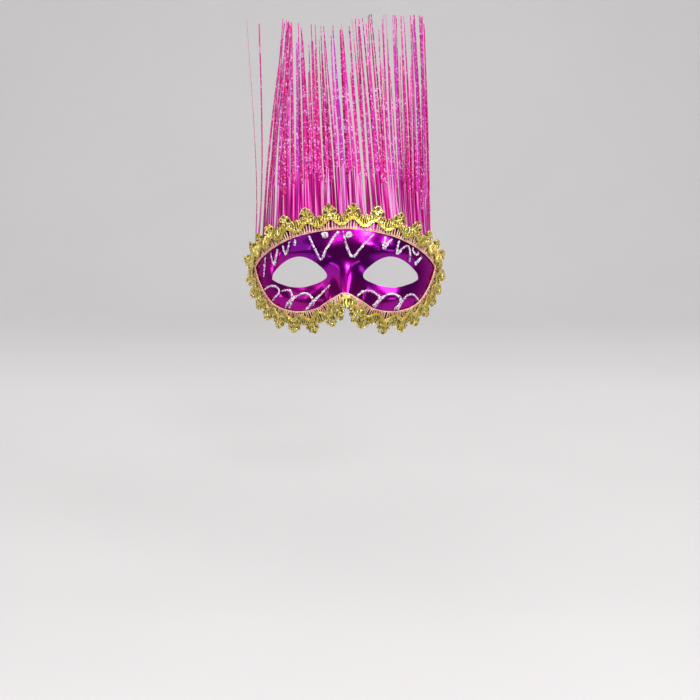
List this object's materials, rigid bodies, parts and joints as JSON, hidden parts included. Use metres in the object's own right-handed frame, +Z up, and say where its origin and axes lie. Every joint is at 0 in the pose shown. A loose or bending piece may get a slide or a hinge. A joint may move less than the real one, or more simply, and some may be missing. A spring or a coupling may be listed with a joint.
{
  "type": "masquerade mask",
  "caption": "Half-face masquerade mask: glossy moulded shell with almond eye holes, gold looped braid round the rim, glitter-glue lines and a tall tinsel fringe over the brow.",
  "frame": {"origin": "inner face of the nose bridge, on the centre line, level with the inner corners of the eyes", "axes": "+Z up the face, the mask's front faces -Y and the wearer is on the +Y side, +X is to the right as seen from the front"},
  "size_m": [0.1909, 0.0851, 0.2872],
  "materials": {
    "metallised_shell": "vacuum-metallised purple, mirror gloss",
    "pale_cord": "satin cord",
    "gold_thread": "metallic thread",
    "glitter_glue": "clear glue full of silver glitter",
    "fringe_tape": "woven tape",
    "foil_tinsel": "holographic foil"
  },
  "bodies": {
    "root": {"shell": "metallised_shell", "braid_edge_cord": "pale_cord", "braid_heading": "pale_cord", "braid_band": "gold_thread", "braid_wave_cord": "gold_thread", "braid_picots": "gold_thread", "glitter_zigzag_left": "glitter_glue", "glitter_zigzag_right": "glitter_glue", "glitter_curls_left": "glitter_glue", "glitter_curls_right": "glitter_glue", "glitter_brow_dots": "glitter_glue", "fringe_tape": "fringe_tape", "fringe_front_strands": "foil_tinsel", "fringe_middle_strands": "foil_tinsel", "fringe_back_strands": "foil_tinsel", "fringe_stray_strands": "foil_tinsel"}
  },
  "joints": []
}
